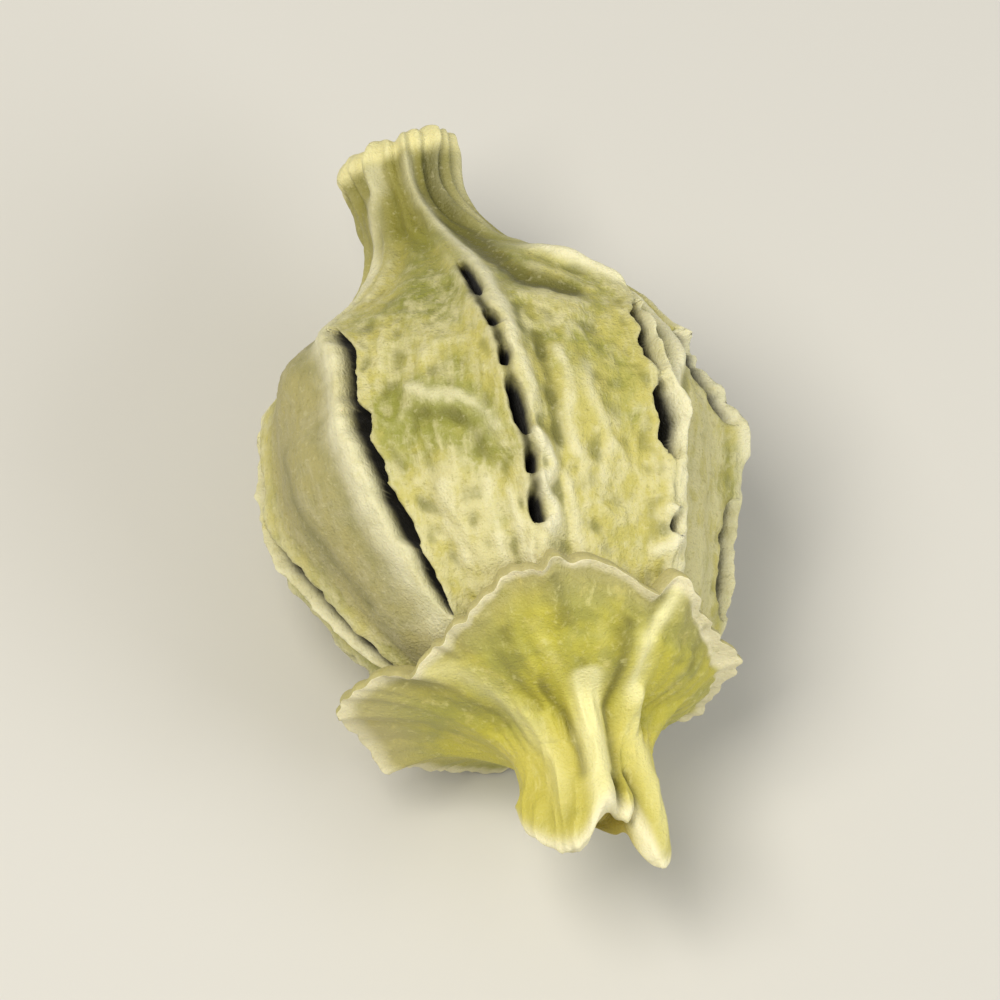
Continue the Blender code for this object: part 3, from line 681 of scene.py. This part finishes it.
# Where the torn edge is, in degrees round and distance along.
STALK_CUT = np.array([
    (-130, -12.3), (-96, -12.5), (-72, -13.8), (-50, -14.7), (-30, -15.1), (-14, -15.0), (2, -14.0),
    (16, -13.7), (32, -14.2), (50, -15.4), (66, -15.7), (82, -14.8), (104, -13.4), (135, -12.8), (180, -12.6),
])
stalk_along = np.repeat(stalk_path[:, :1], columns, axis=1)
stalk_radius = np.repeat(stalk_path[:, 1:], columns, axis=1)
stalk_spots = unbent(stalk_along * 0.35, stalk_radius, cap_angle)
to_side = eased(stalk_radius, 1.2, 2.4)
near_end = 1 - eased(stalk_along, STALK_END, -12.0)
cut = np.interp(degrees, *closed_curve(STALK_CUT).T)
cut = cut + 0.9 * hump(degrees - 90, 9) + 1.1 * hump(degrees - 43, 9)
torn = CUT_MIDDLE + (cut - CUT_MIDDLE) * np.minimum(1, stalk_radius / CUT_RADIUS) - STALK_END
stalk_fibres = 0.1 * (folds(stalk_spots, 0.6, 31) - 0.4) * to_side
frayed = 0.2 * lumps(stalk_spots, 0.35, 32) * eased(stalk_radius, 1.3, 2.0) * near_end
stalk_along = stalk_along + torn * near_end + frayed
strand_side = -0.45 * hump(degrees - 95, 16) * to_side
stalk_radius = stalk_radius + (stalk_ridge + fold_height[:stalk_rows]) * to_side + stalk_fibres + strand_side
print("stalk end, mm:", round(float(stalk_along.min()), 2))

# %% [markdown]
# ## Edge and underside
# The cap is a thin wall, so its skin turns round the rim and runs back inside to the middle. A solidify
# modifier could thicken a sheet, but one outline all the way round keeps the skin closed and off the pod.

# %% Edge and underside
EDGE_BENDS = np.array([(0.35, -0.1), (0.75, -0.7)]) * CAP_WALL
WAY_IN = ((0.35, 0.9), (0.75, 0.5))
edge_along, edge_radius = flare_along[-1], flare_radius[-1]
under_start = UNDERSIDE[0]
inner = [(edge_along + bend[0], edge_radius + bend[1]) for bend in EDGE_BENDS]
for onward, lift in WAY_IN:
    inner.append((
        edge_along + (under_start[0] - edge_along) * onward + lift * CAP_WALL,
        edge_radius + (under_start[1] - edge_radius) * onward,
    ))
middle_rows = [np.full((2, columns), place[:, None]) for place in UNDERSIDE]
controls = np.array([(edge_along, edge_radius), *inner, *middle_rows])
under = curve_through(controls.reshape(len(controls), -1), 6)[1:].reshape(-1, 2, columns)
under_along = under[:, 0]
under_radius = clear_of_pod(under_along, np.maximum(under[:, 1], 0), GAP * 0.8)
under_radius[-1] = 0

cap_along = np.vstack([stalk_along, flare_along, under_along])
cap_radius = np.vstack([stalk_radius, flare_radius, under_radius])
cap_rings = set_down(cap_along, cap_radius, cap_angle[None])
print("rows of the cap:", len(cap_along))

# %% [markdown]
# ## Marks for the cap's material
# The cap's material has to know the rim, the stalk, the cut with its pith and its pale ring, which is partly
# wood and partly painted highlight, the folds that dried pale, the relief that is painted with shade and
# highlight, and the side that lies against the pod.

# %% Cap marks
shown = stalk_rows + FLARE_ROWS
under_rows = len(under_along)
to_rim = np.vstack([np.clip(share, 0, 1), np.ones((under_rows, columns))])
is_stalk = np.vstack([1 - eased(share, 0.0, 0.25), np.zeros((under_rows, columns))])
cut_face = np.zeros_like(cap_along)
cut_face[:stalk_rows] = 1 - to_side
relief = np.vstack([stalk_fibres + fold_height[:stalk_rows] * to_side, flare_detail + 0.7 * flare_relief])
relief = np.vstack([relief, np.repeat(relief[-1:], under_rows, axis=0)])
below = np.vstack([np.zeros((shown, columns)), np.ones((under_rows, columns))])
nothing_below = np.zeros((under_rows, columns))
nothing_on_flare = np.zeros((len(cap_along) - stalk_rows, columns))
# The ring is a pale band at the edge of the cut, partly the stalk's wood and partly painted highlight.
ring = hump((stalk_along - cut - 0.15) / 0.4, 1) * eased(stalk_radius, 1.4, 2.1)
cap_marks = {
    "rim": eased(to_rim + 0.14 * hump(degrees - 72, 26) * (1 - below), 0.88, 0.98) * (1 - 0.6 * below),
    "toward_rim": to_rim,
    "stalk": is_stalk,
    "cut": cut_face,
    "pith": hump(cap_radius, 1.0) * cut_face,
    "ring": np.vstack([ring, nothing_on_flare]),
    # raised: over 0.5 on the cap's crests and under it in its hollows, painted as highlight and shade.
    "raised": np.clip(0.5 + 2.6 * (blurred(relief, 1) - blurred(relief, RAISED_BLUR)), 0, 1),
    "on_top": np.repeat(on_top[None] ** 2, len(cap_along), axis=0),
    "crest": np.clip(np.vstack([fold_pale, nothing_below]), 0, 1),
    "groove": np.clip(np.vstack([fold_shade, nothing_below]), 0, 1),
    "under": below,
    "flap": eased(to_rim, 0.5, 0.95) * hump(degrees + 98, 32) * (1 - below),
}
cap = closed_skin("cap_skin", cap_rings, cap_marks)

# %% [markdown]
# ## Placing the skins
# The plain model was centred over the origin by its box. The same middle is taken off both skins, and the
# boxes are compared to see that the finer skins lie on the plain ones.

# %% Centre
MIDDLE = Vector((-0.0220, -0.9025, 0.0)) * MM
for piece in (pod, cap):
    piece.data.transform(Matrix.Translation(-MIDDLE))
for piece, node in ((pod, "pod"), (cap, "cap_with_stalk")):
    low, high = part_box(node)
    points = np.array([v.co for v in piece.data.vertices])
    print(node, "low off, mm:", np.round((points.min(0) - low) / MM, 2))
    print(node, "high off, mm:", np.round((points.max(0) - high) / MM, 2))

# %% [markdown]
# ## Colour and node helpers
# Colours are written as the eye knows them, in sRGB hex, and one function turns them to the linear values
# that the shader wants. One more adds a node with its settings and links, and every node that the materials
# add comes from it.

# %% Helpers for materials
def linear(hex_colour):
    """An sRGB hex colour as linear RGBA."""
    channels = [int(hex_colour[i : i + 2], 16) / 255 for i in (1, 3, 5)]
    return [c / 12.92 if c <= 0.04045 else ((c + 0.055) / 1.055) ** 2.4 for c in channels] + [1.0]


def add(tree, kind, settings=None, **links):
    """A node of this kind. A link names an input, or gives its number after an i, for a socket or a value."""
    node = tree.nodes.new(kind)
    for name, value in (settings or {}).items():
        setattr(node, name, value)
    for name, value in links.items():
        key = int(name[1:]) if name[0] == "i" and name[1:].isdigit() else name.replace("_", " ")
        if isinstance(value, bpy.types.NodeSocket):
            tree.links.new(value, node.inputs[key])
        else:
            node.inputs[key].default_value = value
    return node


print("linear cream:", np.round(linear("#e9e4bd"), 3))

# %% [markdown]
# ## Dried okra skin
# The skin is a thin, matt, papery plant skin that dried in the sun. Where it stays flat it keeps some green,
# and where it was stretched over a rib or rubbed on its neighbours it dries to cream. Its hollows and grooves
# are painted darker olive and its splits near black, as painted shade, and its small crests are painted
# paler, partly as rubbed cream and partly as painted highlight. Spots of 2 to 4 mm come from sun and shade,
# specks of about 0.3 mm are the raised cells, and the fibres run along the pod. It has a little sheen from
# fine down, and lets a little light in.

# %% Patterns and coats
SMOOTH, IN_COLOUR = {"interpolation_type": "SMOOTHSTEP"}, {"data_type": "RGBA"}
GRAIN = 0.1


def start_material(name, marks):
    """A new material with what every dried skin shares, and the marks that it can read."""
    material = bpy.data.materials.new(name)
    material.use_nodes = True
    tree = material.node_tree
    shader = tree.nodes["Principled BSDF"]
    shader.inputs["IOR"].default_value = 1.45
    shader.inputs["Subsurface Weight"].default_value = 0.06
    shader.inputs["Subsurface Radius"].default_value = (0.8, 0.6, 0.2)
    shader.inputs["Subsurface Scale"].default_value = 0.4 * MM
    shader.inputs["Sheen Weight"].default_value = 0.06
    seen = {mark: add(tree, "ShaderNodeAttribute", {"attribute_name": mark}).outputs["Fac"] for mark in marks}
    return material, tree, shader, seen


def spots(tree, size, detail=3.0, rough=0.55, stretch=(1, 1, 1)):
    """Noise from 0 to 1 whose spots are about this many millimetres across."""
    place = add(tree, "ShaderNodeTexCoord").outputs["Object"]
    scaled = add(tree, "ShaderNodeMapping", i0=place, Scale=stretch).outputs[0]
    scale = 1 / (size * MM)
    return add(tree, "ShaderNodeTexNoise", i0=scaled, Scale=scale, Detail=detail, Roughness=rough).outputs[0]


def varied(tree, value, pattern, amount):
    """The value made patchy: this much more where a pattern is light, and this much less where it is dark."""
    span = {"From_Min": 0.35, "From_Max": 0.65, "To_Min": -amount, "To_Max": amount}
    swing = add(tree, "ShaderNodeMapRange", SMOOTH, Value=pattern, **span).outputs[0]
    return add(tree, "ShaderNodeMath", {"operation": "ADD"}, i0=value, i1=swing).outputs[0]


def thinned(tree, value, by, start, end, share, end_share):
    """The value times a share, which changes to its end share as another value goes from start to end."""
    span = {"From_Min": start, "From_Max": end, "To_Min": share, "To_Max": end_share}
    left = add(tree, "ShaderNodeMapRange", SMOOTH, Value=by, **span).outputs[0]
    return add(tree, "ShaderNodeMath", {"operation": "MULTIPLY"}, i0=value, i1=left).outputs[0]


def coated(tree, skin, seen, coats):
    """Coats over a colour: what each follows, from where to where, how much of it, and its colour."""
    skin = linear(skin)
    for mark, start, end, most, colour in coats:
        if start == end:
            share = add(tree, "ShaderNodeMath", {"operation": "MULTIPLY"}, i0=seen[mark], i1=most)
        else:
            span = {"From_Min": start, "From_Max": end, "To_Max": most}
            share = add(tree, "ShaderNodeMapRange", SMOOTH, Value=seen[mark], **span)
        coat = add(tree, "ShaderNodeMix", IN_COLOUR, i0=share.outputs[0], i6=skin, i7=linear(colour))
        skin = coat.outputs[2]
    return skin


def surfaced(tree, shader, skin, seen, smoothest, roughest, speck_share, depth):
    """Colour, roughness that follows the mottling, and relief of this depth in mm, too fine for the mesh."""
    span = {"From_Min": 0.3, "From_Max": 0.7, "To_Min": smoothest, "To_Max": roughest}
    rough = add(tree, "ShaderNodeMapRange", Value=seen["mottle"], **span)
    weighed = {"i0": seen["specks"], "i1": speck_share, "i2": seen["streak"]}
    coarse = add(tree, "ShaderNodeMath", {"operation": "MULTIPLY_ADD"}, **weighed).outputs[0]
    finest = spots(tree, GRAIN, 2.0)
    grain = add(tree, "ShaderNodeMath", {"operation": "ADD"}, i0=coarse, i1=finest).outputs[0]
    bump = add(tree, "ShaderNodeBump", Strength=1.0, Distance=depth * MM, Height=grain)
    for made, socket in ((skin, "Base Color"), (rough.outputs[0], "Roughness"), (bump.outputs[0], "Normal")):
        tree.links.new(made, shader.inputs[socket])
    print("nodes:", len(tree.nodes))


# %% [markdown]
# ## Coats of colour
# A painter would lay thin coats over each other, each where it belongs, and so does this material. A coat
# follows a mark or a pattern between two of its values, or the mark as it is where both are 0. First come
# green and cream, then painted shade in the hollows and painted highlight on the crests, painted shade beside
# the splits and in the grooves, then specks, lips, a band of painted shade on seam 0, and the near black
# painted shade of the splits.

# %% The pod's material
# The coats on raised, crests, shade, groove, link and crack paint light: shade in hollows, beside the splits,
# in grooves, along the band and in the splits, and a highlight on crests, which are partly rubbed cream too.
POD_COATS = [
    ("greenness", 0.05, 0.95, 1.0, "#93943b"), ("paleness", 0.25, 1.1, 0.85, "#d8d19a"),
    ("dull", 0, 0, 0.6, "#9d9570"), ("neck", 0, 0, 0.88, "#847e2c"),
    ("raised", 0.48, 0.2, 0.75, "#71702c"), ("crests", 0, 0, 0.6, "#dfd9a4"),
    ("shade", 0, 0, 0.55, "#6b6528"), ("groove", 0, 0, 0.8, "#615e24"),
    ("specks", 0.58, 0.72, 0.2, "#e6dfb2"), ("specks", 0.4, 0.3, 0.3, "#847c36"),
    ("lips", 0, 0, 1.0, "#e9e4bd"), ("link", 0, 0, 0.92, "#403d17"),
    ("tip", 0, 0, 0.9, "#ebe3a8"), ("crack", 0.25, 0.8, 1.0, "#17150b"),
]


def pod_material():
    material, tree, shader, seen = start_material("dried_okra_skin", pod_marks)
    patch = spots(tree, 3.2)
    seen["mottle"] = spots(tree, 0.9, 4.0, 0.6)
    seen["specks"] = spots(tree, 0.22, 2.0)
    seen["streak"] = spots(tree, 0.35, 3.0, 0.6, (1, 0.14, 1))

    seen["greenness"] = varied(tree, varied(tree, seen["green"], patch, 0.3), seen["mottle"], 0.2)
    seen["paleness"] = varied(tree, varied(tree, seen["pale"], seen["mottle"], 0.25), seen["streak"], 0.2)
    # crests: the small crests, painted paler partly as rubbed cream and partly as painted highlight.
    crests = add(tree, "ShaderNodeMapRange", SMOOTH, Value=seen["raised"], From_Min=0.54, From_Max=0.85)
    seen["crests"] = thinned(tree, crests.outputs[0], seen["neck"], 0, 1, 1, 0.2)
    seen["lips"] = thinned(tree, seen["lip"], seen["mottle"], 0.25, 0.5, 0.55, 0.9)
    skin = coated(tree, "#c3ba64", seen, POD_COATS)
    surfaced(tree, shader, skin, seen, 0.5, 0.72, 0.8, 0.055)
    return material


pod.data.materials.append(pod_material())

# %% [markdown]
# ## The cap's skin
# The cap is leathery and keeps more yellow than the pod. It is lime green in its hollows, cream on its folds
# and along its thin rim, greyer where it lies on the pod, and the cut stalk shows a pale ring round its pith,
# partly its wood and partly a painted highlight on the cut's edge. Its hollows and creases are also painted
# darker as painted shade, and its raised relief paler as painted highlight.

# %% The cap's material
CAP_COATS = [
    ("lime", 0, 1, 1.0, "#a7a44a"), ("greyed", 0, 0, 1.0, "#aba26b"),
    ("flap", 0, 0, 0.7, "#c9bd88"), ("stalk", 0, 0, 0.6, "#cfc35e"),
    ("mottle", 0.55, 0.75, 0.45, "#ddd07a"), ("mottle", 0.45, 0.25, 0.35, "#939036"),
    # The raised coats paint shade in the hollows and a highlight on raised relief, and the groove coat paints
    # shade in the creases.
    ("raised", 0.48, 0.15, 0.7, "#857f2c"), ("raised", 0.54, 0.9, 0.55, "#e6dc80"),
    ("groove", 0, 0, 0.85, "#5b561d"), ("streak", 0.55, 0.75, 0.35, "#ece49c"),
    ("specks", 0.6, 0.75, 0.1, "#ece5b0"), ("crest", 0, 0, 0.85, "#f3edae"),
    ("broken_rim", 0, 0, 1.0, "#ebe3ba"), ("under", 0, 0, 0.5, "#a79d58"),
    # The ring coat is the stalk's wood and a painted highlight on the cut's edge.
    ("cut", 0, 0, 0.9, "#bfae4a"), ("ring", 0, 0, 1.0, "#efe8bd"), ("pith", 0, 0, 0.6, "#8f8434"),
]


def cap_material():
    material, tree, shader, seen = start_material("dried_okra_cap", cap_marks)
    patch = spots(tree, 2.4)
    seen["mottle"] = spots(tree, 0.8, 4.0, 0.6)
    seen["specks"] = spots(tree, 0.2, 2.0)
    seen["streak"] = spots(tree, 0.3, 3.0, 0.6, (1, 0.2, 1))

    seen["lime"] = varied(tree, seen["toward_rim"], patch, 0.5)
    seen["greyed"] = thinned(tree, seen["on_top"], seen["toward_rim"], 0.5, 0.95, 0, 0.8)
    seen["broken_rim"] = thinned(tree, seen["rim"], seen["mottle"], 0.25, 0.5, 0.5, 0.95)
    skin = coated(tree, "#c2ba42", seen, CAP_COATS)
    surfaced(tree, shader, skin, seen, 0.45, 0.66, 0.7, 0.035)
    return material


cap.data.materials.append(cap_material())

# %% [markdown]
# ## Table, light and camera
# The pod lies on a plain matt painted table, which only belongs to the picture. The camera looks down on it
# from the stalk's side through a long lens, as the photograph does, so that near and far keep their size. A
# lamp from the left gives the shadows, and a larger, cooler one from the right fills them.

# %% Table and camera
TABLE_REACH, TABLE_ROUGHNESS = 0.6, 0.8
LENS, CAMERA_DISTANCE = 300, 0.3
table_mesh = bpy.data.meshes.new("table")
signs = ((-1, -1), (1, -1), (1, 1), (-1, 1))
table_mesh.from_pydata([(x * TABLE_REACH, y * TABLE_REACH, 0) for x, y in signs], [], [(0, 1, 2, 3)])
table = bpy.data.objects.new("table", table_mesh)
bpy.context.scene.collection.objects.link(table)
paint = bpy.data.materials.new("pale_table")
paint.use_nodes = True
paint.node_tree.nodes["Principled BSDF"].inputs["Base Color"].default_value = linear("#d3d1ca")
paint.node_tree.nodes["Principled BSDF"].inputs["Roughness"].default_value = TABLE_ROUGHNESS
table_mesh.materials.append(paint)

middle = Vector((0.0, 0.09, 7.5)) * MM
elevation, swing, roll = math.radians(63), math.radians(-13.1), math.radians(7.4)
level = math.cos(elevation)
ahead = Vector((-math.sin(swing) * level, math.cos(swing) * level, -math.sin(elevation)))
camera_data = bpy.data.cameras.new("camera")
camera_data.lens = LENS
camera_data.clip_start = 0.01
camera = bpy.data.objects.new("camera", camera_data)
facing = (-ahead).to_track_quat("Z", "Y").to_matrix().to_4x4()
stand = Matrix.Translation(middle - ahead * CAMERA_DISTANCE)
camera.matrix_world = stand @ facing @ Matrix.Rotation(roll, 4, "Z")
bpy.context.scene.collection.objects.link(camera)
bpy.context.scene.camera = camera
print("camera at, m:", [round(place, 3) for place in camera.matrix_world.translation])


# %% Lamps and sky
def lamp(name, place, size, power, colour):
    light = bpy.data.lights.new(name, "AREA")
    light.size = size
    light.energy = power
    light.color = linear(colour)[:3]
    holder = bpy.data.objects.new(name, light)
    holder.location = place
    holder.rotation_euler = (middle - Vector(place)).to_track_quat("-Z", "Y").to_euler()
    bpy.context.scene.collection.objects.link(holder)


lamp("key", (-0.085, -0.03, 0.215), 0.11, 0.385, "#fffaf0")
lamp("fill", (0.17, -0.10, 0.15), 0.16, 0.25, "#f5f6fa")
world = bpy.data.worlds.new("room")
world.use_nodes = True
world.node_tree.nodes["Background"].inputs["Color"].default_value = linear("#f4f3ef")
world.node_tree.nodes["Background"].inputs["Strength"].default_value = 0.42
bpy.context.scene.world = world
bpy.context.scene.view_settings.view_transform = "Standard"
print("lamps:", len(bpy.data.lights))

# %% [markdown]
# ## Handing over
# Both skins ride on the plain model's one body and replace its two nodes, so that the model and the picture
# stay in one frame.

# %% Ride and finish
for piece, node in ((pod, "pod"), (cap, "cap_with_stalk")):
    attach(piece, "root")
    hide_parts(node)
